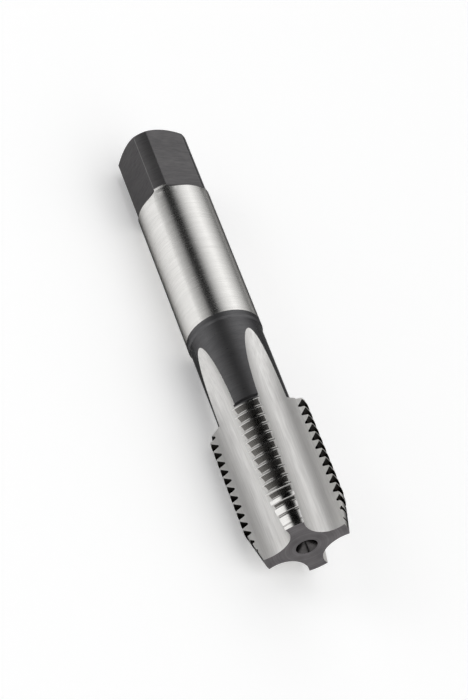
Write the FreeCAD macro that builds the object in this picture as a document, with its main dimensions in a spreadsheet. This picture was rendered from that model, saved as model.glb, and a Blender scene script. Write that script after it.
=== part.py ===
import FreeCAD, Part
import math
import os

import Sketcher

# Hand tap for the G 1/4 pipe thread, turned, milled and ground from one bar.
# The tap is drawn standing on its tip: the local Z axis is its own axis, the tip is at zero,
# the drive square is at the top, and the bottom line of the first flute points along +X.
# It is then laid down the way it comes to rest, on two lands and the shank, with its tip towards +X.

# Driving dimensions: name, value, what it is. Lengths in millimetres, angles in degrees.
SIZES = [
    ("overall_length", 67.0, "tip to the end of the square"),
    ("thread_length", 19.0, "tip to the end of the full thread"),
    ("thread_diameter", 13.157, "over the crests"),
    ("thread_pitch", 1.337, "nineteen turns to the inch"),
    ("thread_depth", 0.856, "crest to root, in radius"),
    ("thread_root_width", 0.223, "flat at the bottom of the groove"),
    ("flank_angle", 55.0, "between the two flanks of the groove"),
    ("thread_start", 1.053, "height of the first crest above the bottom line of the first flute"),
    ("shoulder_length", 1.2, "cone from the end of the thread down to the neck"),
    ("lead_length", 4.9, "chamfered length that does the cutting"),
    ("tip_diameter", 10.98, "over the lands at the tip"),
    ("neck_diameter", 9.64, "between the thread and the shank"),
    ("neck_end", 32.9, "tip to the foot of the shank"),
    ("shank_edge", 0.3, "cone from the neck up to the shank"),
    ("shank_diameter", 10.0, "ground shank"),
    ("square_across_flats", 8.0, "drive square"),
    ("square_corner_diameter", 9.65, "over the rounded corners of the square"),
    ("square_flat_length", 10.3, "end of the tap to the end of the plane part of a flat"),
    ("square_runout_radius", 1.0, "arc in which each flat leaves the shank"),
    ("square_foot_cone", 0.5, "length of the cone from the shank to the corners of the square"),
    ("square_end_diameter", 7.1, "plane face on the end of the square"),
    ("square_end_dome", 8.4, "dome from that face down to the corners, centred on the axis"),
    ("square_turn", -6.3, "direction of the first flat, from the first flute"),
    ("flat_count", 4, "flats of the square"),
    ("flute_count", 4, "straight flutes"),
    ("flute_core_radius", 2.92, "axis to the bottom line of a flute, at the tip"),
    ("flute_core_taper", 1.95, "rise of the bottom line along the thread"),
    ("flute_cutting_radius", 2.84, "hollow under the cutting edge"),
    ("flute_heel_radius", 3.95, "wider hollow behind the land"),
    ("flute_past_shoulder", 0.3, "end of the shoulder to where the run-out starts"),
    ("flute_wheel_radius", 67.0, "grinding wheel, whose arc is the run-out"),
    ("centre_diameter", 2.8, "mouth of the centre hole in each end"),
    ("centre_angle", 60.0, "cone of the centre hole"),
    ("centre_pilot_diameter", 1.3, "small bore behind the cone"),
    ("centre_pilot_depth", 3.2, "end face to the bottom of the small bore"),
    ("centre_pilot_point", 0.4, "height of the drilled point of the small bore"),
]

# How far a cutting shape reaches past the surface that it cuts, and past the crests of the thread.
OVERSHOOT = 1.0
CREST_OVERSHOOT = 0.1

# Arc of the hollow under the cutting edge, long enough to end outside the crests.
CUTTING_ARC = 120

# Turns of the groove that start below the tip, and turns that it goes on for over the neck.
TURNS_BELOW = 1.5
TURNS_ABOVE = 1.5

# Coarseness of the mesh that the printed box is measured on.
MESH_TOLERANCE = 0.01

doc = FreeCAD.newDocument("hand_tap")

# Sheet of the driving dimensions.
sheet = doc.addObject("Spreadsheet::Sheet", "sizes")
sheet.Label = "sizes"
for row, (name, value, note) in enumerate(SIZES, start=1):
    sheet.set("A%d" % row, name)
    sheet.set("B%d" % row, str(value))
    sheet.setAlias("B%d" % row, name)
    sheet.set("C%d" % row, note)
doc.recompute()


def size(name):
    """A driving dimension as a plain number."""
    return float(sheet.get(name))


def worked_out(expression):
    """The number that an expression of the sheet comes to."""
    return float(sheet.evalExpression(expression))


# Sketches: every point is held by expressions of the sheet, across (x) and along (y).

def origin_part(body, role):
    """The origin plane or axis of the body with this role, such as XZ_Plane."""
    for feature in body.Origin.OriginFeatures:
        if feature.Role == role:
            return feature
    raise ValueError("no origin feature " + role)


def new_sketch(body, name, role):
    sketch = body.newObject("Sketcher::SketchObject", name)
    sketch.AttachmentSupport = [(origin_part(body, role), "")]
    sketch.MapMode = "FlatFace"
    sketch.Visibility = False
    return sketch


def hold(sketch, edge, end, across=None, along=None):
    """Hold one end (1 or 2) or the centre (3) of an edge by expressions of the sheet."""
    for kind, expression in (("DistanceX", across), ("DistanceY", along)):
        if expression is None:
            continue
        place = sketch.addConstraint(Sketcher.Constraint(kind, -1, 1, edge, end, worked_out(expression)))
        sketch.setExpression("Constraints[%d]" % place, expression)


def join(sketch, edge, end, other_edge, other_end):
    sketch.addConstraint(Sketcher.Constraint("Coincident", edge, end, other_edge, other_end))


def point(across, along):
    return FreeCAD.Vector(worked_out(across), worked_out(along), 0)


def add_line(sketch, start, end):
    return sketch.addGeometry(Part.LineSegment(point(*start), point(*end)), False)


def add_arc(sketch, centre, radius, first_angle, last_angle):
    circle = Part.Circle(point(*centre), FreeCAD.Vector(0, 0, 1), worked_out(radius))
    arc = Part.ArcOfCircle(circle, math.radians(first_angle), math.radians(last_angle))
    return sketch.addGeometry(arc, False)


def add_arc_between(sketch, centre, start, end):
    """Arc that turns anticlockwise from start to end."""
    first = point(*start) - point(*centre)
    last = point(*end) - point(*centre)
    circle = Part.Circle(point(*centre), FreeCAD.Vector(0, 0, 1), last.Length)
    arc = Part.ArcOfCircle(circle, math.atan2(first.y, first.x), math.atan2(last.y, last.x))
    return sketch.addGeometry(arc, False)


def outline(sketch, corners):
    """Closed outline through the corners. A third entry is the centre of the arc to the next one."""
    edges = []
    for index, corner in enumerate(corners):
        after = corners[(index + 1) % len(corners)][:2]
        if len(corner) == 3:
            edges.append(add_arc_between(sketch, corner[2], corner[:2], after))
        else:
            edges.append(add_line(sketch, corner, after))
    for index, edge in enumerate(edges):
        corner = corners[index]
        join(sketch, edge, 2, edges[(index + 1) % len(edges)], 1)
        if len(corner) == 3:
            hold(sketch, edge, 3, *corner[2])
            hold(sketch, edge, 1, across=corner[0])
        else:
            hold(sketch, edge, 1, *corner)


def turn(body, kind, name, corners):
    """Solid or groove turned all the way round the tap's own axis."""
    sketch = new_sketch(body, name + "_outline", "XZ_Plane")
    outline(sketch, corners)
    feature = body.newObject(kind, name)
    feature.Profile = sketch
    feature.ReferenceAxis = (sketch, ["V_Axis"])
    feature.Angle = 360.0
    return feature


def repeat_round(body, name, feature, count):
    """Copies of a cut, evenly spaced round the tap's own axis."""
    pattern = body.newObject("PartDesign::PolarPattern", name)
    pattern.Originals = [feature]
    pattern.Axis = (origin_part(body, "Z_Axis"), [""])
    pattern.Angle = 360.0
    pattern.setExpression("Occurrences", count)
    body.Tip = pattern
    return pattern


# Turned blank, from the tip up to the end of the square.

def turn_blank(body):
    crest = "sizes.thread_diameter / 2"
    neck = "sizes.neck_diameter / 2"
    shank = "sizes.shank_diameter / 2"
    corner = "sizes.square_corner_diameter / 2"
    end = "sizes.square_end_diameter / 2"
    dome = "sizes.square_end_dome"
    dome_centre = "sizes.overall_length - sqrt(%s^2 - (%s)^2)" % (dome, end)
    dome_foot = "%s + sqrt(%s^2 - (%s)^2)" % (dome_centre, dome, corner)
    square_foot = "sizes.overall_length - sizes.square_flat_length"
    turn(body, "PartDesign::Revolution", "blank", [
        ("0", "0"),
        ("sizes.tip_diameter / 2", "0"),
        (crest, "sizes.lead_length"),
        (crest, "sizes.thread_length"),
        (neck, "sizes.thread_length + sizes.shoulder_length"),
        (neck, "sizes.neck_end"),
        (shank, "sizes.neck_end + sizes.shank_edge"),
        (shank, square_foot + " - sizes.square_foot_cone"),
        (corner, square_foot),
        (corner, dome_foot, ("0", dome_centre)),
        (end, "sizes.overall_length"),
        ("0", "sizes.overall_length"),
    ])


# Right-hand thread: one groove with flat root, which starts below the tip and leaves over the neck.

def cut_thread(body):
    crest = "sizes.thread_diameter / 2"
    slope = "tan(sizes.flank_angle * 1 deg / 2)"
    middle = "sizes.thread_start - %g * sizes.thread_pitch" % TURNS_BELOW
    outer_half = "(sizes.thread_root_width / 2 + (sizes.thread_depth + %g) * %s)" % (CREST_OVERSHOOT, slope)
    root = crest + " - sizes.thread_depth"
    outer = crest + " + %g" % CREST_OVERSHOOT
    sketch = new_sketch(body, "thread_groove_section", "XZ_Plane")
    outline(sketch, [
        (root, middle + " - sizes.thread_root_width / 2"),
        (outer, middle + " - " + outer_half),
        (outer, middle + " + " + outer_half),
        (root, middle + " + sizes.thread_root_width / 2"),
    ])
    groove = body.newObject("PartDesign::SubtractiveHelix", "thread_groove")
    groove.Profile = sketch
    groove.ReferenceAxis = (sketch, ["V_Axis"])
    groove.Mode = "pitch-height-angle"
    groove.LeftHanded = False
    groove.Reversed = False
    groove.setExpression("Pitch", "sizes.thread_pitch")
    turns = "%g * sizes.thread_pitch" % (TURNS_BELOW + TURNS_ABOVE)
    groove.setExpression("Height", "sizes.thread_length + sizes.shoulder_length + " + turns)
    return groove


# Straight flute: hollow on the cutting side (+Y), wider on the heel side (-Y). Its bottom line
# rises gently along the thread, and then along the grinding wheel until it leaves the neck.
# The section is drawn from the bottom line and stands square to it.

def cut_flutes(body):
    core = "sizes.flute_core_radius"
    taper = "sizes.flute_core_taper * 1 deg"
    wheel = "sizes.flute_wheel_radius"
    cutting = "sizes.flute_cutting_radius"
    heel = "sizes.flute_heel_radius"

    start = (core + " - %g * tan(%s)" % (OVERSHOOT, taper), "-%g" % OVERSHOOT)
    turn_height = "(sizes.thread_length + sizes.shoulder_length + sizes.flute_past_shoulder)"
    turn_across = "(%s + %s * tan(%s))" % (core, turn_height, taper)
    wheel_centre = (
        "%s + %s * cos(%s)" % (turn_across, wheel, taper),
        "%s - %s * sin(%s)" % (turn_height, wheel, taper),
    )
    clear_of_shank = "sizes.shank_diameter / 2 + %g" % (OVERSHOOT / 2)
    reach = worked_out("(%s - (%s)) / %s" % (wheel_centre[0], clear_of_shank, wheel))
    last_angle = 180 - math.degrees(math.acos(reach))
    path = new_sketch(body, "flute_path", "XZ_Plane")
    run = add_line(path, start, (turn_across, turn_height))
    rise = add_arc(path, wheel_centre, wheel, last_angle, 180 - size("flute_core_taper"))
    join(path, run, 2, rise, 2)
    hold(path, run, 1, *start)
    hold(path, run, 2, turn_across, turn_height)
    hold(path, rise, 3, *wheel_centre)
    hold(path, rise, 1, across=clear_of_shank)

    section = new_sketch(body, "flute_section", "XY_Plane")
    section.AttachmentOffset = FreeCAD.Placement(
        FreeCAD.Vector(worked_out(start[0]), 0, -OVERSHOOT),
        FreeCAD.Rotation(FreeCAD.Vector(0, 1, 0), size("flute_core_taper")),
    )
    section.setExpression("AttachmentOffset.Base.x", start[0])
    section.setExpression("AttachmentOffset.Rotation.Angle", taper)
    outside = "sizes.thread_diameter / 2 + %g - %s" % (2 * OVERSHOOT, core)
    cutting_end_angle = 180 - CUTTING_ARC
    cutting_end = (
        "%s * (1 + cos(%g deg))" % (cutting, cutting_end_angle),
        "%s * sin(%g deg)" % (cutting, cutting_end_angle),
    )
    heel_end = (heel, "-" + heel)
    cutting_corner = (outside, cutting)
    heel_corner = (outside, "-" + heel)
    cutting_arc = add_arc(section, (cutting, "0"), cutting, cutting_end_angle, 180)
    heel_arc = add_arc(section, (heel, "0"), heel, 180, 270)
    heel_side = add_line(section, heel_end, heel_corner)
    closing = add_line(section, heel_corner, cutting_corner)
    cutting_side = add_line(section, cutting_corner, cutting_end)
    join(section, cutting_arc, 2, heel_arc, 1)
    join(section, heel_arc, 2, heel_side, 1)
    join(section, heel_side, 2, closing, 1)
    join(section, closing, 2, cutting_side, 1)
    join(section, cutting_side, 2, cutting_arc, 1)
    hold(section, cutting_arc, 3, cutting, "0")
    hold(section, heel_arc, 3, heel, "0")
    hold(section, cutting_arc, 2, "0", "0")
    hold(section, cutting_arc, 1, across=cutting_end[0])
    hold(section, heel_arc, 2, across=heel_end[0])
    hold(section, heel_side, 2, *heel_corner)
    hold(section, cutting_side, 1, *cutting_corner)

    flute = body.newObject("PartDesign::SubtractivePipe", "flute")
    flute.Profile = section
    flute.Spine = (path, ["Edge1", "Edge2"])
    return repeat_round(body, "flutes", flute, "sizes.flute_count")


# Drive square: each flat is milled with a cutter that leaves a quarter round where it ends.

def cut_square(body):
    flat = "sizes.square_across_flats / 2"
    runout = "sizes.square_runout_radius"
    foot = "sizes.overall_length - sizes.square_flat_length"
    above = "sizes.overall_length + %g" % OVERSHOOT
    outside = "sizes.shank_diameter / 2 + %g + %s" % (OVERSHOOT, runout)
    section = new_sketch(body, "flat_section", "XZ_Plane")
    section.AttachmentOffset = FreeCAD.Placement(
        FreeCAD.Vector(0, 0, 0), FreeCAD.Rotation(FreeCAD.Vector(0, 1, 0), size("square_turn"))
    )
    section.setExpression("AttachmentOffset.Rotation.Angle", "sizes.square_turn * 1 deg")
    arc_centre = (flat + " + " + runout, foot)
    arc_end = (flat + " + " + runout, foot + " - " + runout)
    face = add_line(section, (flat, above), (flat, foot))
    arc = add_arc(section, arc_centre, runout, 180, 270)
    ledge = add_line(section, arc_end, (outside, foot + " - " + runout))
    side = add_line(section, (outside, foot + " - " + runout), (outside, above))
    top = add_line(section, (outside, above), (flat, above))
    join(section, face, 2, arc, 1)
    join(section, arc, 2, ledge, 1)
    join(section, ledge, 2, side, 1)
    join(section, side, 2, top, 1)
    join(section, top, 2, face, 1)
    hold(section, face, 1, flat, above)
    hold(section, face, 2, flat, foot)
    hold(section, arc, 3, *arc_centre)
    hold(section, arc, 2, across=arc_end[0])
    hold(section, ledge, 2, outside, foot + " - " + runout)
    hold(section, side, 2, outside, above)

    pocket = body.newObject("PartDesign::Pocket", "flat")
    pocket.Profile = section
    pocket.SideType = "Symmetric"
    pocket.Type = "Length"
    pocket.setExpression("Length", "sizes.shank_diameter + %g" % (2 * OVERSHOOT))
    return repeat_round(body, "flats", pocket, "sizes.flat_count")


# Centre hole in each end, on which the tap is held while it is ground.

def bore_centre(body, name, end_face, inward):
    """Cone, small bore and drilled point from an end face; inward is + or -."""
    outward = "-" if inward == "+" else "+"
    mouth = "sizes.centre_diameter / 2"
    pilot = "sizes.centre_pilot_diameter / 2"
    cone_depth = "(%s - %s) / tan(sizes.centre_angle * 1 deg / 2)" % (mouth, pilot)
    turn(body, "PartDesign::Groove", name, [
        ("0", "%s %s %g" % (end_face, outward, OVERSHOOT)),
        (mouth, "%s %s %g" % (end_face, outward, OVERSHOOT)),
        (mouth, end_face),
        (pilot, "%s %s %s" % (end_face, inward, cone_depth)),
        (pilot, "%s %s sizes.centre_pilot_depth" % (end_face, inward)),
        ("0", "%s %s (sizes.centre_pilot_depth + sizes.centre_pilot_point)" % (end_face, inward)),
    ])


def volume_after(step, body, before):
    """Recompute after a cut, and stop when the cut took nothing away."""
    doc.recompute()
    after = body.Shape.Volume
    if not 0 < after < before:
        raise RuntimeError("%s cut nothing away" % step)
    return after


tap = doc.addObject("PartDesign::Body", "hand_tap")
tap.Label = "hand_tap"
turn_blank(tap)
doc.recompute()
volume = tap.Shape.Volume
cut_flutes(tap)
volume = volume_after("flutes", tap, volume)
cut_square(tap)
volume = volume_after("square", tap, volume)
bore_centre(tap, "tip_centre", "0", "+")
volume = volume_after("tip centre", tap, volume)
bore_centre(tap, "end_centre", "sizes.overall_length", "-")
volume = volume_after("end centre", tap, volume)
cut_thread(tap)
volume = volume_after("thread", tap, volume)


# Rest: the lowest flute faces the floor, its two edges and the end of the shank touch it.

def side_angle(hollow_radius, height):
    """Angle from a flute's bottom line to its edge at the crests, for one side of the flute."""
    crest = size("thread_diameter") / 2
    core = size("flute_core_radius") + height * math.tan(math.radians(size("flute_core_taper")))
    middle = core + hollow_radius
    if math.hypot(middle, hollow_radius) < crest:
        return math.degrees(math.asin(hollow_radius / crest))
    cosine = (crest**2 + middle**2 - hollow_radius**2) / (2 * crest * middle)
    return math.degrees(math.acos(cosine))


def rest_placement():
    crest = size("thread_diameter") / 2
    shank = size("shank_diameter") / 2
    thread_touch = size("thread_length") - size("thread_pitch") / 2
    cutting_angle = side_angle(size("flute_cutting_radius"), thread_touch)
    heel_angle = side_angle(size("flute_heel_radius"), thread_touch)
    thread_height = crest * math.cos(math.radians((cutting_angle + heel_angle) / 2))
    shank_touch = size("overall_length") - size("square_flat_length") - size("square_runout_radius")
    tilt = math.atan((thread_height - shank) / (shank_touch - thread_touch))
    roll = (heel_angle - cutting_angle) / 2
    axes = FreeCAD.Rotation(
        FreeCAD.Vector(0, -1, 0), FreeCAD.Vector(0, 0, 1), FreeCAD.Vector(-1, 0, 0), "ZXY"
    )
    rotation = FreeCAD.Rotation(FreeCAD.Vector(0, 1, 0), -math.degrees(tilt))
    rotation = rotation.multiply(axes)
    rotation = rotation.multiply(FreeCAD.Rotation(FreeCAD.Vector(0, 0, 1), roll))
    middle = size("overall_length") / 2
    centre = rotation.multVec(FreeCAD.Vector(0, 0, middle))
    shank_axis = rotation.multVec(FreeCAD.Vector(0, 0, shank_touch))
    height = shank * math.cos(tilt) - shank_axis.z
    return FreeCAD.Placement(FreeCAD.Vector(-centre.x, 0, height), rotation)


tap.Placement = rest_placement()
doc.recompute()


# Checks, then the solid is written.

def check(body):
    for item in doc.Objects:
        if "Invalid" in item.State or "Error" in item.State:
            raise RuntimeError("%s is %s" % (item.Name, item.State))
    if body.Shape.isNull() or not body.Shape.isValid():
        raise RuntimeError("%s has no valid shape" % body.Label)
    if len(body.Shape.Solids) != 1:
        raise RuntimeError("%s is %d solids" % (body.Label, len(body.Shape.Solids)))


check(tap)
os.makedirs("parts", exist_ok=True)
tap.Shape.exportStep("parts/%s.step" % tap.Label)
box = FreeCAD.BoundBox()
for corner in tap.Shape.tessellate(MESH_TOLERANCE)[0]:
    box.add(corner)
print("%s: volume %.1f mm3, box %.2f x %.2f x %.2f mm" % (
    tap.Label, tap.Shape.Volume, box.XLength, box.YLength, box.ZLength))
print("middle of the box %.3f, %.3f, lowest %.3f" % (box.Center.x, box.Center.y, box.ZMin))
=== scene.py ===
import math

import bmesh
import bpy
import numpy as np
from mathutils import Matrix, Vector
from mathutils.geometry import tessellate_polygon


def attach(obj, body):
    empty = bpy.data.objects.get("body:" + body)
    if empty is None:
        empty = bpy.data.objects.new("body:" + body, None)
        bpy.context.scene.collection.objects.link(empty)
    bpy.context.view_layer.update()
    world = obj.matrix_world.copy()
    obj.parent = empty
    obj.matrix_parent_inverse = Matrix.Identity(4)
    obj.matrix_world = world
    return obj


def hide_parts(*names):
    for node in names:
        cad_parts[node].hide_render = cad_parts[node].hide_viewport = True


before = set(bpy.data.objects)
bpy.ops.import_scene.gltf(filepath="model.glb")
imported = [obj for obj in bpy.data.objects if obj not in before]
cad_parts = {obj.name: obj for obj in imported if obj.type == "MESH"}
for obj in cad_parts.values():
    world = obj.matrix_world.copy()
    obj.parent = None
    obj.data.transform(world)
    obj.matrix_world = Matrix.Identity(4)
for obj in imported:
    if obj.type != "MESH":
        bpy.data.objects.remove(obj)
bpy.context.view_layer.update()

# Blender works in metres. The tap is drawn in millimetres in its own frame: its axis is Z, the tip
# is at zero, the square is at the top and the bottom line of the first flute points along +X.
MM = 0.001

# Driving dimensions of the CAD model, in millimetres and degrees. First the thread and the lead.
OVERALL_LENGTH = 67.0
THREAD_LENGTH = 19.0
CREST_RADIUS = 13.157 / 2
PITCH = 1.337
THREAD_DEPTH = 0.856
ROOT_WIDTH = 0.223
FLANK_ANGLE = 55.0
THREAD_START = 1.053
SHOULDER_LENGTH = 1.2
LEAD_LENGTH = 4.9
TIP_RADIUS = 10.98 / 2

# Neck, shank and drive square.
NECK_RADIUS = 9.64 / 2
NECK_END = 32.9
SHANK_EDGE = 0.3
SHANK_RADIUS = 5.0
FLAT_DISTANCE = 4.0
CORNER_RADIUS = 9.65 / 2
FLAT_LENGTH = 10.3
RUNOUT_RADIUS = 1.0
FOOT_CONE = 0.5
END_RADIUS = 7.1 / 2
END_DOME = 8.4
SQUARE_TURN = -6.3

# Flutes, and the grinding wheel that leaves them.
QUARTERS = 4
CORE_RADIUS = 2.92
CORE_TAPER = math.radians(1.95)
CUTTING_RADIUS = 2.84
HEEL_RADIUS = 3.95
PAST_SHOULDER = 0.3
WHEEL_RADIUS = 67.0

# Centre hole in each end.
CENTRE_RADIUS = 2.8 / 2
CENTRE_ANGLE = 60.0
PILOT_RADIUS = 1.3 / 2
PILOT_DEPTH = 3.2
PILOT_POINT = 0.4

# Sizes that only the visual model has. The neck's black laps over the shoulder's edge, and at the
# other end over the shank's edge up to BLACK_END. That is also where the rings of the fluted part
# meet those of the square part.
EDGE_BREAK = 0.02
ROOT_FILLET = 0.05
BLACK_LAP = 0.01
BLACK_END = 33.93

# Heights and places that follow from those sizes.
ROOT_RADIUS = CREST_RADIUS - THREAD_DEPTH
FLANK_SLOPE = math.tan(math.radians(FLANK_ANGLE / 2))
SHOULDER_TOP = THREAD_LENGTH + SHOULDER_LENGTH
BLACK_START = SHOULDER_TOP - BLACK_LAP
TURN_HEIGHT = SHOULDER_TOP + PAST_SHOULDER
WHEEL_ACROSS = (
    CORE_RADIUS + TURN_HEIGHT * math.tan(CORE_TAPER) + WHEEL_RADIUS * math.cos(CORE_TAPER))
WHEEL_HEIGHT = TURN_HEIGHT - WHEEL_RADIUS * math.sin(CORE_TAPER)
FLUTE_END = WHEEL_HEIGHT + math.sqrt(WHEEL_RADIUS**2 - (WHEEL_ACROSS - NECK_RADIUS)**2)
SHANK_START = NECK_END + SHANK_EDGE
SQUARE_FOOT = OVERALL_LENGTH - FLAT_LENGTH
SQUARE_TURNED = SQUARE_FOOT - 2 * RUNOUT_RADIUS
DOME_CENTRE = OVERALL_LENGTH - math.sqrt(END_DOME**2 - END_RADIUS**2)
DOME_FOOT = DOME_CENTRE + math.sqrt(END_DOME**2 - CORNER_RADIUS**2)

# Numbers of segments round the tap and along it.
LAND_STEPS = 24
HEEL_STEPS = 12
CUTTING_STEPS = 10
FLAT_STEPS = 5
HOLE_STEPS = 64
WHEEL_STEPS = 48
SHANK_STEPS = 12
RUNOUT_STEPS = 16
CORNER_STEPS = 5
DOME_STEPS = 16
FLANK_SHARES = (1.0, 0.6, 0.3, 0.0)

# Search for the edges of the lands: the widest angle round a flute's hollow and how often it is
# halved, rounds for the crest's and for the land's own place, and the first guess of both edges.
WIDEST_ANGLE = math.radians(100)
EDGE_HALVINGS = 24
CREST_ROUNDS = 8
LAND_ROUNDS = 5
LAND_GUESS = (math.radians(30), math.radians(60))
TINY = 1e-9

# Mesh clean-up, in metres: points nearer than MERGE_DISTANCE are joined, and edges shorter than
# SHORTEST_EDGE dissolved. An edge stays sharp where its faces meet at SHARP_ANGLE or more.
MERGE_DISTANCE = 1e-6
SHORTEST_EDGE = 1e-7
SHARP_ANGLE = math.radians(25)

# Name of the mesh attribute that holds each point's place in the tap's own frame, in millimetres.
PLACE = "tap_place"

# Finishes of the steel, in the order of the mesh's material slots. The colour varies from dark to
# light. Grain is the noise's cells per millimetre, the last number along the tap, and bump is the
# depth of the relief in millimetres. The gloss is spread across the lay of the grain, which runs
# along the tap or round it, and rings turn the grain into turning marks about the axis.
METALS = {
    "ground_shank": dict(
        dark=(0.72, 0.71, 0.69), light=(0.86, 0.85, 0.83), roughness=0.24,
        grain=(0.25, 0.25, 9.0), bump=0.001, lay="round"),
    "ground_flute": dict(
        dark=(0.74, 0.73, 0.715), light=(0.92, 0.91, 0.89), roughness=0.38,
        grain=(7.0, 7.0, 0.15), bump=0.002, metallic=0.95, lay="along"),
    "crest": dict(
        dark=(0.80, 0.79, 0.77), light=(0.92, 0.91, 0.89), roughness=0.12,
        grain=(0.4, 0.4, 8.0), bump=0.0005),
    "flank": dict(
        dark=(0.50, 0.49, 0.475), light=(0.57, 0.56, 0.545), roughness=0.12,
        grain=(0.3, 0.3, 0.3), bump=0.0002),
    "black_oxide": dict(
        dark=(0.095, 0.094, 0.097), light=(0.135, 0.134, 0.137), roughness=0.34,
        grain=(0.8, 0.8, 7.0), bump=0.001, metallic=0.85),
    "black_square": dict(
        dark=(0.105, 0.102, 0.105), light=(0.15, 0.146, 0.147), roughness=0.38,
        grain=(0.8, 0.8, 5.0), bump=0.002, metallic=0.8),
    "worn_edge": dict(
        dark=(0.20, 0.197, 0.198), light=(0.30, 0.296, 0.297), roughness=0.34,
        grain=(0.8, 0.8, 5.0), bump=0.001),
    "end_face": dict(
        dark=(0.07, 0.066, 0.068), light=(0.24, 0.23, 0.235), roughness=0.36,
        grain=(1.6, 1.6, 1.6), bump=0.008, metallic=0.8, rings=True),
    "centre": dict(
        dark=(0.055, 0.053, 0.053), light=(0.10, 0.095, 0.095), roughness=0.24,
        grain=(0.8, 0.8, 3.0), bump=0.003),
}
FINISHES = list(METALS)

# How far the gloss is spread across each lay of the grain.
GLOSS_SPREAD = {"along": 0.9, "round": 0.6}

# Grain: a noise and the range that it seldom leaves, the fine grain's share of the shades, how
# many times larger the broad grain is, and by how much of itself the roughness varies.
NOISE_DETAIL = 3.0
NOISE_ROUGHNESS = 0.6
NOISE_RANGE = (0.3, 0.7)
FINE_SHARE = 0.6
BROAD_GRAIN = 6
GLOSS_CHANGE = 0.2

# Painted shade in the thread: the flanks of the side lands are darkened by their angle round the
# axis, in place of the dark that they mirror. The unshaded land is given by the angle of its middle
# round the axis, and the range by the cosine of the angle from there, over which the painted shade
# gives way to bright steel.
# Colour of the painted shade in the side grooves.
GROOVE_SHADE_COLOUR = (0.030, 0.029, 0.028)
UNSHADED_LAND = math.radians(45)
SHADE_FADE_RANGE = (0.68, 0.90)

# Camera, where the photograph was taken from. The lens is in millimetres, for a sensor whose long
# side is CAMERA_SENSOR, and the range that it sees is in metres.
CAMERA_PLACE = Vector((220.65, -199.20, 249.63)) * MM
CAMERA_RIGHT = Vector((0.28877, 0.85120, 0.43825))
CAMERA_UP = Vector((-0.76948, -0.06602, 0.63525))
CAMERA_LENS = 155.2
CAMERA_SENSOR = 36.0
CAMERA_RANGE = (0.01, 20.0)

# Floor, in metres. The glow is the share of its white that is its own, so that the shadow stays
# pale.
FLOOR_SIZE = 6.0
FLOOR_WHITE = (0.9, 0.9, 0.9)
FLOOR_ROUGHNESS = 0.9
FLOOR_GLOW = 0.23

# Weak lamp in front of the tap, in metres, aimed at the floor under its middle.
FILL_PLACE = (-0.30, -0.65, 0.55)
FILL_SIZE = (0.5, 0.4)
FILL_RADIANCE = 1.8

# Brightness of the studio tent by the angle round the tap: 0 is the horizon on the camera's side,
# 90 is straight up and 180 is the horizon behind. One row of values is for the half of the tent
# over the square, the other for the half over the tip. They change over between two directions,
# given by how far they point along X.
TENT_SQUARE_END = [
    (0, 0.88), (10, 0.56), (28, 0.22), (37, 0.07), (43, 0.01), (58, 0.01), (66, 0.11), (76, 0.40),
    (92, 0.82), (116, 1.20), (143, 0.76), (167, 0.40), (180, 0.15),
]
TENT_TIP_END = [
    (0, 0.95), (28, 1.00), (35, 0.85), (40, 0.0), (59, 0.0), (64, 0.75), (76, 1.05), (116, 1.20),
    (143, 0.76), (167, 0.40), (180, 0.15),
]
TENT_CHANGE = (-0.56, -0.36)


# Form of the tap, as radii and places at a height above the tip.

def envelope(height):
    """Radius of the turned blank over the lead, crests, shoulder, neck, shank and domed end."""
    heights = [0, LEAD_LENGTH, THREAD_LENGTH, SHOULDER_TOP, NECK_END, SHANK_START,
               SQUARE_FOOT - FOOT_CONE, SQUARE_FOOT]
    radii = [TIP_RADIUS, CREST_RADIUS, CREST_RADIUS, NECK_RADIUS, NECK_RADIUS, SHANK_RADIUS,
             SHANK_RADIUS, CORNER_RADIUS]
    dome = np.sqrt(np.maximum(END_DOME**2 - np.maximum(height - DOME_CENTRE, 0)**2, 0))
    return np.minimum(np.interp(height, heights, radii), dome)


def flute_across(height, out):
    """Distance from the axis of the line that lies this far outside a flute's bottom line."""
    straight = CORE_RADIUS + height * math.tan(CORE_TAPER) + out / math.cos(CORE_TAPER)
    above = np.clip(height - WHEEL_HEIGHT, 0, WHEEL_RADIUS / 2)
    curved = WHEEL_ACROSS - np.sqrt((WHEEL_RADIUS - out)**2 - above**2)
    return np.where(height < TURN_HEIGHT - out * math.sin(CORE_TAPER), straight, curved)


def flute_point(height, angle, hollow):
    """Place across and sideways on one side of a flute, by the angle round its hollow."""
    across = flute_across(height, hollow * (1 - np.cos(angle)))
    return np.where(height < FLUTE_END, across, envelope(height)), hollow * np.sin(angle)


def flute_edge(height, radius, hollow):
    """Angle round the hollow at which a side of the flute reaches this radius."""
    low = np.zeros(np.broadcast(height, radius).shape)
    high = np.full(low.shape, WIDEST_ANGLE)
    for _ in range(EDGE_HALVINGS):
        middle = (low + high) / 2
        across, sideways = flute_point(height, middle, hollow)
        outside = np.hypot(across, sideways) > radius
        low = np.where(outside, low, middle)
        high = np.where(outside, middle, high)
    return np.where(height < FLUTE_END, low, 0)


def groove_stations():
    """Rows over one turn of the thread, from crest to crest: side, kind and amount of each."""
    stations = [(-1, "crest", 1.0), (-1, "crest", 0.0)]
    stations += [(-1, "flank", share) for share in FLANK_SHARES]
    stations.append((-1, "root", 0.0))
    stations += [(1, kind, amount) for _, kind, amount in reversed(stations[1:])]
    return stations


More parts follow.
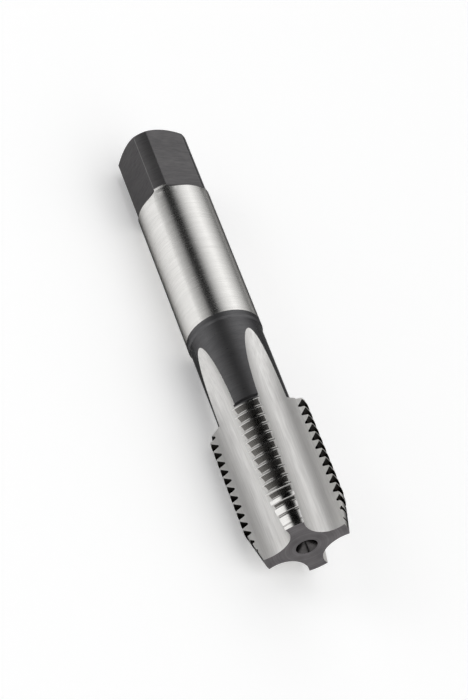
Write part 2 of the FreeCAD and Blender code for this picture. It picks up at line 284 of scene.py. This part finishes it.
def groove_row(turn_number, station, angle):
    """Height and radius on the thread, where the blank's own outline may cut the crest off."""
    side, kind, amount = station
    middle = THREAD_START + PITCH * (angle / (2 * math.pi) + turn_number - 0.5)
    half_root = ROOT_WIDTH / 2
    top = CREST_RADIUS
    for _ in range(CREST_ROUNDS):
        at_top = middle + side * (half_root + (top - ROOT_RADIUS) * FLANK_SLOPE)
        top = np.clip(envelope(at_top), ROOT_RADIUS, CREST_RADIUS)
    half_top = half_root + (top - ROOT_RADIUS) * FLANK_SLOPE
    if kind == "crest":
        out = half_top + EDGE_BREAK + amount * (PITCH / 2 - half_top - EDGE_BREAK)
        radius = CREST_RADIUS
    elif kind == "flank":
        lowest = np.minimum(ROOT_RADIUS + ROOT_FILLET, top)
        highest = np.maximum(top - EDGE_BREAK, lowest)
        radius = lowest + amount * (highest - lowest)
        out = half_root + (radius - ROOT_RADIUS) * FLANK_SLOPE
    else:
        out = half_root - ROOT_FILLET
        radius = ROOT_RADIUS
    height = np.clip(middle + side * out, 0, TURN_HEIGHT)
    return height, np.minimum(radius, envelope(height))


def plain_row(height):
    """The same height and the blank's radius at every angle."""
    def row(angle):
        return np.full(np.shape(angle), height), np.full(np.shape(angle), envelope(height))

    return row


def side_angle(row, angle, hollow):
    """Angle about the axis from a flute's bottom line to its edge on this side."""
    height, radius = row(angle)
    across, sideways = flute_point(height, flute_edge(height, radius, hollow), hollow)
    return np.arctan2(sideways, across)


def land_edges(row):
    """Angles of both edges of every land, where row(angle) gives height and radius."""
    quarter = np.arange(QUARTERS) * math.pi / 2
    start = quarter + LAND_GUESS[0]
    end = quarter + LAND_GUESS[1]
    for _ in range(LAND_ROUNDS):
        start = quarter + side_angle(row, start, CUTTING_RADIUS)
        end = quarter + math.pi / 2 - side_angle(row, end, HEEL_RADIUS)
    return start, end


def turned(across, sideways, height, quarter):
    """Point beside the bottom line of a flute, in the tap's own frame."""
    angle = quarter * math.pi / 2
    return (
        float(across * math.cos(angle) - sideways * math.sin(angle)),
        float(across * math.sin(angle) + sideways * math.cos(angle)),
        float(height),
    )


def polar(radius, angle, height):
    """Point by its distance from the axis, its angle about it and its height."""
    return (radius * math.cos(angle), radius * math.sin(angle), float(height))


def fluted_ring(row):
    """Points once round the tap, flute by flute: heel side, bottom, cutting side, then the land."""
    start, end = land_edges(row)
    start_height, start_radius = row(start)
    end_height, end_radius = row(end)
    points = []
    for flute in range(QUARTERS):
        before = flute - 1
        heel_angle = flute_edge(end_height[before], end_radius[before], HEEL_RADIUS)
        cutting_angle = flute_edge(start_height[flute], start_radius[flute], CUTTING_RADIUS)
        heel_width = HEEL_RADIUS * heel_angle
        cutting_width = CUTTING_RADIUS * cutting_angle
        bottom = heel_width / max(heel_width + cutting_width, TINY)
        rise = start_height[flute] - end_height[before]
        for step in range(HEEL_STEPS):
            share = step / HEEL_STEPS
            height = end_height[before] + share * bottom * rise
            across, sideways = flute_point(height, heel_angle * (1 - share), HEEL_RADIUS)
            points.append(turned(across, -sideways, height, flute))
        for step in range(CUTTING_STEPS):
            share = step / CUTTING_STEPS
            height = end_height[before] + (bottom + share * (1 - bottom)) * rise
            across, sideways = flute_point(height, cutting_angle * share, CUTTING_RADIUS)
            points.append(turned(across, sideways, height, flute))
        angles = np.linspace(start[flute], end[flute], LAND_STEPS + 1)[:-1]
        heights, radii = row(angles)
        points.extend(zip(radii * np.cos(angles), radii * np.sin(angles), heights))
    return points


def fluted_rings():
    """Rings from the tip over the thread, the wheel's run-out and the neck to BLACK_END."""
    rings = []
    last_turn = math.ceil((TURN_HEIGHT - THREAD_START) / PITCH) + 1
    for turn_number in range(-1, last_turn + 1):
        for station in groove_stations():
            rings.append(fluted_ring(lambda angle: groove_row(turn_number, station, angle)))
    for step in range(1, WHEEL_STEPS + 1):
        share = 1 - (1 - step / WHEEL_STEPS)**2
        rings.append(fluted_ring(plain_row(TURN_HEIGHT + share * (FLUTE_END - TURN_HEIGHT))))
    for height in (NECK_END, SHANK_START, BLACK_END):
        rings.append(fluted_ring(plain_row(height)))
    return rings


def flat_distance(height):
    """Distance from the axis to the flats, with the quarter round at their foot."""
    below = np.clip((SQUARE_FOOT - height) / RUNOUT_RADIUS, 0, 1)
    return FLAT_DISTANCE + RUNOUT_RADIUS * (1 - math.sqrt(1 - below**2))


def square_ring(height):
    """Points once round the shank and square: half a flat, a corner, half a flat.

    Over the shank the rings turn from the flutes' direction to the square's.
    """
    radius = float(envelope(height))
    across = min(flat_distance(height), radius)
    edge = math.acos(across / radius)
    share = np.clip((height - BLACK_END) / (SQUARE_TURNED - BLACK_END), 0, 1)
    first = math.radians(SQUARE_TURN) * share
    points = []
    for quarter in range(QUARTERS):
        middle = first + quarter * math.pi / 2
        for step in range(FLAT_STEPS):
            sideways = radius * math.sin(edge) * step / FLAT_STEPS
            angle = math.atan2(sideways, across)
            points.append(polar(math.hypot(sideways, across), middle + angle, height))
        for angle in np.linspace(edge, math.pi / 2 - edge, LAND_STEPS + 1)[:-1]:
            points.append(polar(radius, middle + angle, height))
        for step in range(FLAT_STEPS):
            sideways = radius * math.sin(edge) * (1 - step / FLAT_STEPS)
            angle = math.pi / 2 - math.atan2(sideways, across)
            points.append(polar(math.hypot(sideways, across), middle + angle, height))
    return points


def square_heights():
    """Heights of the rings over the shank, the flats' foot, the corners and the domed end."""
    heights = list(np.linspace(BLACK_END, SQUARE_TURNED, SHANK_STEPS + 1))
    for step in range(RUNOUT_STEPS + 1):
        heights.append(SQUARE_FOOT - RUNOUT_RADIUS * math.cos(math.pi / 2 * step / RUNOUT_STEPS))
    heights.append(SQUARE_FOOT - FOOT_CONE)
    heights.sort()
    heights += list(np.linspace(SQUARE_FOOT, DOME_FOOT, CORNER_STEPS + 1)[1:])
    flat_top = DOME_CENTRE + math.sqrt(END_DOME**2 - FLAT_DISTANCE**2)
    for step in range(1, DOME_STEPS + 1):
        share = math.sin(math.pi / 2 * step / DOME_STEPS)
        heights.append(DOME_FOOT + (flat_top - DOME_FOOT) * share)
    heights.extend([(flat_top + OVERALL_LENGTH) / 2, OVERALL_LENGTH])
    return heights


def hole_rings(end_height, inward):
    """Centre hole from its mouth to the drilled point."""
    cone = (CENTRE_RADIUS - PILOT_RADIUS) / math.tan(math.radians(CENTRE_ANGLE / 2))
    profile = [(CENTRE_RADIUS, 0), (PILOT_RADIUS, cone), (PILOT_RADIUS, PILOT_DEPTH),
               (0, PILOT_DEPTH + PILOT_POINT)]
    angles = np.arange(HOLE_STEPS) * 2 * math.pi / HOLE_STEPS
    return [[polar(radius, angle, end_height + inward * depth) for angle in angles]
            for radius, depth in profile]


# Mesh of the whole tap, with a finish for every face.

class Skin:
    """Points and faces as they are collected, each face with its finish."""

    def __init__(self):
        self.points = []
        self.faces = []
        self.finishes = []

    def add_ring(self, ring):
        first = len(self.points)
        self.points.extend(ring)
        return list(range(first, first + len(ring)))

    def add_face(self, corners, finish):
        self.faces.append(corners)
        self.finishes.append(FINISHES.index(finish))

    def add_band(self, lower, upper, finish_of):
        """Quads between two rings; finish_of gives a finish by the column's number."""
        count = len(lower)
        for column in range(count):
            after = (column + 1) % count
            corners = (lower[column], lower[after], upper[after], upper[column])
            self.add_face(corners, finish_of(column))

    def add_plate(self, outline, hole, finish):
        """Flat plate between an outline and a round hole."""
        loops = [[Vector(self.points[index]) for index in loop] for loop in (outline, hole)]
        numbers = outline + hole
        for corners in tessellate_polygon(loops):
            self.add_face([numbers[corner] for corner in corners], finish)


def fluted_finish(height, on_crest):
    """Finish by column over the flutes and the lands between them."""
    flute_columns = HEEL_STEPS + CUTTING_STEPS

    def finish_of(column):
        if column % (flute_columns + LAND_STEPS) < flute_columns:
            return "ground_flute"
        if height > BLACK_START:
            return "black_oxide"
        return "crest" if on_crest else "flank"

    return finish_of


def square_finish(height):
    """Finish by column over the shank and the square; only its corners' edges are worn."""
    first_edge = FLAT_STEPS
    last_edge = FLAT_STEPS + LAND_STEPS - 1

    def finish_of(column):
        place = column % (LAND_STEPS + 2 * FLAT_STEPS)
        if SQUARE_FOOT < height < DOME_FOOT and place in (first_edge, last_edge):
            return "worn_edge"
        if height > SQUARE_FOOT or not first_edge <= place <= last_edge:
            return "black_square"
        return "ground_shank"

    return finish_of


def build_skin():
    """The tap's surface from the tip to the square, with both end faces and their holes."""
    skin = Skin()
    rings = [skin.add_ring(ring) for ring in fluted_rings()]
    for lower, upper in zip(rings, rings[1:]):
        start, end = skin.points[lower[-1]], skin.points[upper[-1]]
        height = (start[2] + end[2]) / 2
        drop = envelope(height) - (math.hypot(*start[:2]) + math.hypot(*end[:2])) / 2
        skin.add_band(lower, upper, fluted_finish(height, drop < EDGE_BREAK))
    heights = square_heights()
    square = [skin.add_ring(square_ring(height)) for height in heights]
    for lower, upper, low, high in zip(square, square[1:], heights, heights[1:]):
        skin.add_band(lower, upper, square_finish((low + high) / 2))
    for outline, end_height, inward, finish in (
        (rings[0], 0, 1, "end_face"), (square[-1], OVERALL_LENGTH, -1, "black_square"),
    ):
        hole = [skin.add_ring(ring) for ring in hole_rings(end_height, inward)]
        skin.add_plate(outline, hole[0], finish)
        for lower, upper in zip(hole, hole[1:]):
            skin.add_band(lower, upper, lambda column: "centre")
    return skin


def clean_mesh(mesh):
    """Join the points that rings share, and keep the edges between finishes and faces sharp."""
    shape = bmesh.new()
    shape.from_mesh(mesh)
    bmesh.ops.remove_doubles(shape, verts=shape.verts, dist=MERGE_DISTANCE)
    bmesh.ops.dissolve_degenerate(shape, edges=shape.edges, dist=SHORTEST_EDGE)
    bmesh.ops.recalc_face_normals(shape, faces=shape.faces)
    open_edges = 0
    for edge in shape.edges:
        if len(edge.link_faces) == 2:
            first, second = edge.link_faces
            finishes_differ = first.material_index != second.material_index
            edge.smooth = not finishes_differ and edge.calc_face_angle() < SHARP_ANGLE
        else:
            open_edges += 1
    for face in shape.faces:
        face.smooth = True
    print("tap:", len(shape.verts), "points,", len(shape.faces), "faces,", open_edges, "open edges")
    shape.to_mesh(mesh)
    shape.free()


def rest_matrix():
    """From the tap's own frame to the CAD model's, where it lies on two lands and the shank."""
    touch = THREAD_LENGTH - PITCH / 2
    angles = []
    for hollow in (CUTTING_RADIUS, HEEL_RADIUS):
        middle = CORE_RADIUS + touch * math.tan(CORE_TAPER) + hollow
        cosine = (CREST_RADIUS**2 + middle**2 - hollow**2) / (2 * CREST_RADIUS * middle)
        angles.append(math.acos(cosine))
    shank_touch = SQUARE_FOOT - RUNOUT_RADIUS
    drop = CREST_RADIUS * math.cos(sum(angles) / 2) - SHANK_RADIUS
    tilt = math.atan(drop / (shank_touch - touch))
    roll = (angles[1] - angles[0]) / 2
    axes = Matrix(((0, 0, -1), (-1, 0, 0), (0, 1, 0))).to_4x4()
    turn = Matrix.Rotation(-tilt, 4, "Y") @ axes @ Matrix.Rotation(roll, 4, "Z")
    centre = turn @ Vector((0, 0, OVERALL_LENGTH / 2))
    height = SHANK_RADIUS * math.cos(tilt) - (turn @ Vector((0, 0, shank_touch))).z
    return Matrix.Translation(Vector((-centre.x, 0, height)) * MM) @ turn


def add_tap():
    """The whole tap as one piece, in place of the CAD solid."""
    skin = build_skin()
    mesh = bpy.data.meshes.new("tap")
    mesh.from_pydata([Vector(point) * MM for point in skin.points], [], skin.faces)
    for finish, metal in METALS.items():
        mesh.materials.append(ground_metal(finish, **metal))
    # Painted shade in the grooves of the side lands, on the flank finish.
    paint_shade_in_side_grooves(mesh.materials[FINISHES.index("flank")])
    mesh.polygons.foreach_set("material_index", skin.finishes)
    clean_mesh(mesh)
    places = np.empty(len(mesh.vertices) * 3)
    mesh.vertices.foreach_get("co", places)
    mesh.attributes.new(PLACE, "FLOAT_VECTOR", "POINT").data.foreach_set("vector", places / MM)
    mesh.transform(rest_matrix())
    tap = bpy.data.objects.new("tap", mesh)
    bpy.context.scene.collection.objects.link(tap)
    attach(tap, "root")
    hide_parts("hand_tap")


# Materials.

def new_material(name):
    """A new material, its node tree and its shader."""
    material = bpy.data.materials.new(name)
    material.use_nodes = True
    return material, material.node_tree, material.node_tree.nodes["Principled BSDF"]


def feed(tree, node, inputs):
    """Link inputs of a node, by name or number, to other nodes' outputs, or set their values."""
    for key, value in inputs.items():
        if isinstance(value, bpy.types.NodeSocket):
            tree.links.new(value, node.inputs[key])
        else:
            node.inputs[key].default_value = value


def math_node(tree, operation, *inputs):
    """Result of a math node."""
    node = tree.nodes.new("ShaderNodeMath")
    node.operation = operation
    feed(tree, node, dict(enumerate(inputs)))
    return node.outputs["Value"]


def vector_node(tree, operation, *inputs):
    """Outputs of a vector math node, of which the operation fills Vector or Value."""
    node = tree.nodes.new("ShaderNodeVectorMath")
    node.operation = operation
    feed(tree, node, dict(enumerate(inputs)))
    return node.outputs


def mix_node(tree, share, first, second):
    """A colour between the first, at 0, and the second, at 1."""
    node = tree.nodes.new("ShaderNodeMix")
    node.data_type = "RGBA"
    feed(tree, node, {"Factor": share, "A": first, "B": second})
    return node.outputs["Result"]


def range_node(tree, value, source, target=(0, 1), kind="LINEAR"):
    """A value in the source range, as the same share of the target range."""
    node = tree.nodes.new("ShaderNodeMapRange")
    node.interpolation_type = kind
    feed(tree, node, {
        "Value": value, "From Min": source[0], "From Max": source[1],
        "To Min": target[0], "To Max": target[1],
    })
    return node.outputs["Result"]


def place_node(tree):
    """Place in the tap's own frame, in millimetres."""
    node = tree.nodes.new("ShaderNodeAttribute")
    node.attribute_name = PLACE
    return node.outputs["Vector"]


def flat_place(tree):
    """Place in the tap's own frame, without the height above the tip."""
    return vector_node(tree, "MULTIPLY", place_node(tree), (1, 1, 0))["Vector"]


def stretched_noise(tree, stretch, rings=False):
    """Noise between 0 and 1 in the tap's own frame; stretch gives its cells per millimetre.

    With rings it only changes with the distance from the axis, as on a turned face.
    """
    place = vector_node(tree, "LENGTH", flat_place(tree))["Value"] if rings else place_node(tree)
    mapping = tree.nodes.new("ShaderNodeMapping")
    feed(tree, mapping, {"Vector": place, "Scale": stretch})
    noise = tree.nodes.new("ShaderNodeTexNoise")
    feed(tree, noise, {
        "Vector": mapping.outputs["Vector"], "Scale": 1.0, "Detail": NOISE_DETAIL,
        "Roughness": NOISE_ROUGHNESS,
    })
    return noise.outputs["Fac"]


def brush(tree, shader, lay):
    """Spread the gloss across the grain, which runs along the tap or round it."""
    axis = tree.nodes.new("ShaderNodeCombineXYZ")
    feed(tree, axis, dict(zip("XYZ", rest_matrix().to_3x3() @ Vector((0, 0, 1)))))
    spread = axis.outputs["Vector"]
    if lay == "along":
        surface = tree.nodes.new("ShaderNodeNewGeometry")
        spread = vector_node(tree, "CROSS_PRODUCT", surface.outputs["Normal"], spread)["Vector"]
    feed(tree, shader, {"Tangent": spread, "Anisotropic": GLOSS_SPREAD[lay]})


def ground_metal(name, dark, light, roughness, grain, bump, metallic=1.0, lay=None, rings=False):
    """Ground or milled steel, with its grain as a streaked colour, gloss and relief.

    The black tint takes the last pale gleam off the metal where it turns away from the eye.
    """
    material, tree, shader = new_material(name)
    if lay:
        brush(tree, shader, lay)
    fine = stretched_noise(tree, grain, rings)
    broad = stretched_noise(tree, [value / BROAD_GRAIN for value in grain])
    broad_part = math_node(tree, "MULTIPLY", broad, 1 - FINE_SHARE)
    shades = math_node(tree, "MULTIPLY_ADD", fine, FINE_SHARE, broad_part)
    colour_share = range_node(tree, shades, NOISE_RANGE)
    roughness_range = (roughness * (1 + GLOSS_CHANGE), roughness * (1 - GLOSS_CHANGE))
    relief = tree.nodes.new("ShaderNodeBump")
    feed(tree, relief, {"Strength": 1.0, "Distance": bump * MM, "Height": fine})
    feed(tree, shader, {
        "Base Color": mix_node(tree, colour_share, (*dark, 1), (*light, 1)),
        "Roughness": range_node(tree, fine, NOISE_RANGE, roughness_range),
        "Metallic": metallic,
        "Specular Tint": (0, 0, 0, 1),
        "Normal": relief.outputs["Normal"],
    })
    return material


def paint_shade_in_side_grooves(material):
    """Leave the flanks bright on the upper land, and paint shade into the flanks of the other lands
    by their angle round the axis.
    """
    tree = material.node_tree
    shader = tree.nodes["Principled BSDF"]
    unshaded_colour = shader.inputs["Base Color"].links[0].from_socket
    direction = vector_node(tree, "NORMALIZE", flat_place(tree))["Vector"]
    upwards = (math.cos(UNSHADED_LAND), math.sin(UNSHADED_LAND), 0)
    cosine = vector_node(tree, "DOT_PRODUCT", direction, upwards)["Value"]
    # Painted shade: the flanks darken with the angle away from the unshaded land.
    unshaded_share = range_node(tree, cosine, SHADE_FADE_RANGE, kind="SMOOTHSTEP")
    feed(tree, shader, {"Base Color": mix_node(tree, unshaded_share, (*GROOVE_SHADE_COLOUR, 1), unshaded_colour)})


# Studio.

def add_camera():
    """Camera at the photograph's viewing angle."""
    data = bpy.data.cameras.new("camera")
    data.lens = CAMERA_LENS
    data.sensor_width = CAMERA_SENSOR
    data.clip_start, data.clip_end = CAMERA_RANGE
    camera = bpy.data.objects.new("camera", data)
    backward = CAMERA_RIGHT.cross(CAMERA_UP).normalized()
    up = backward.cross(CAMERA_RIGHT).normalized()
    turn = Matrix((CAMERA_RIGHT.normalized(), up, backward)).transposed()
    camera.matrix_world = Matrix.Translation(CAMERA_PLACE) @ turn.to_4x4()
    bpy.context.scene.collection.objects.link(camera)
    bpy.context.scene.camera = camera


def add_floor():
    """Pale floor, whose colour also comes through its own glow where it is seen or mirrored."""
    bpy.ops.mesh.primitive_plane_add(size=FLOOR_SIZE, location=(0, 0, 0))
    floor = bpy.context.object
    floor.name = "floor"
    material, tree, shader = new_material("floor")
    path = tree.nodes.new("ShaderNodeLightPath")
    seen = path.outputs["Is Camera Ray"]
    for other in ("Is Glossy Ray", "Is Transmission Ray"):
        seen = math_node(tree, "MAXIMUM", seen, path.outputs[other])
    feed(tree, shader, {
        "Base Color": (*FLOOR_WHITE, 1),
        "Roughness": FLOOR_ROUGHNESS,
        "Specular IOR Level": 0.0,
        "Emission Color": (1, 1, 1, 1),
        "Emission Strength": math_node(tree, "MULTIPLY", seen, FLOOR_GLOW),
    })
    floor.data.materials.append(material)


def add_fill_light():
    """Soft lamp for the dull parts, which the metal doesn't mirror."""
    width, height = FILL_SIZE
    data = bpy.data.lights.new("front_fill", "AREA")
    data.shape = "RECTANGLE"
    data.size = width
    data.size_y = height
    data.energy = FILL_RADIANCE * math.pi * width * height
    light = bpy.data.objects.new("front_fill", data)
    light.location = FILL_PLACE
    light.rotation_mode = "QUATERNION"
    light.rotation_quaternion = (-Vector(FILL_PLACE)).to_track_quat("-Z", "Y")
    light.visible_glossy = False
    bpy.context.scene.collection.objects.link(light)


def tent_ramp(tree, share, tent):
    """Brightness round the tap, from the horizon on the camera's side (0) to the one behind (1)."""
    ramp = tree.nodes.new("ShaderNodeValToRGB")
    feed(tree, ramp, {"Fac": share})
    stops = ramp.color_ramp.elements
    while len(stops) > 1:
        stops.remove(stops[-1])
    for index, (degrees, brightness) in enumerate(tent):
        stop = stops[0] if index == 0 else stops.new(degrees / 180)
        stop.position = degrees / 180
        stop.color = (brightness, brightness, brightness, 1)
    return ramp.outputs["Color"]


def add_world():
    """White tent with a dark slot along it: broad and soft over the square, crisp over the tip."""
    world = bpy.data.worlds.new("world")
    world.use_nodes = True
    tree = world.node_tree
    coordinates = tree.nodes.new("ShaderNodeTexCoord")
    parts = tree.nodes.new("ShaderNodeSeparateXYZ")
    feed(tree, parts, {"Vector": coordinates.outputs["Generated"]})
    forward = math_node(tree, "MULTIPLY", parts.outputs["Y"], -1)
    angle = math_node(tree, "ARCTAN2", parts.outputs["Z"], forward)
    share = math_node(tree, "DIVIDE", angle, math.pi)
    towards_tip = range_node(tree, parts.outputs["X"], TENT_CHANGE, kind="SMOOTHSTEP")
    over_square = tent_ramp(tree, share, TENT_SQUARE_END)
    over_tip = tent_ramp(tree, share, TENT_TIP_END)
    brightness = mix_node(tree, towards_tip, over_square, over_tip)
    feed(tree, tree.nodes["Background"], {"Color": brightness, "Strength": 1.0})
    bpy.context.scene.world = world


add_tap()
add_camera()
add_floor()
add_world()
add_fill_light()

bpy.context.scene.view_settings.view_transform = "Standard"
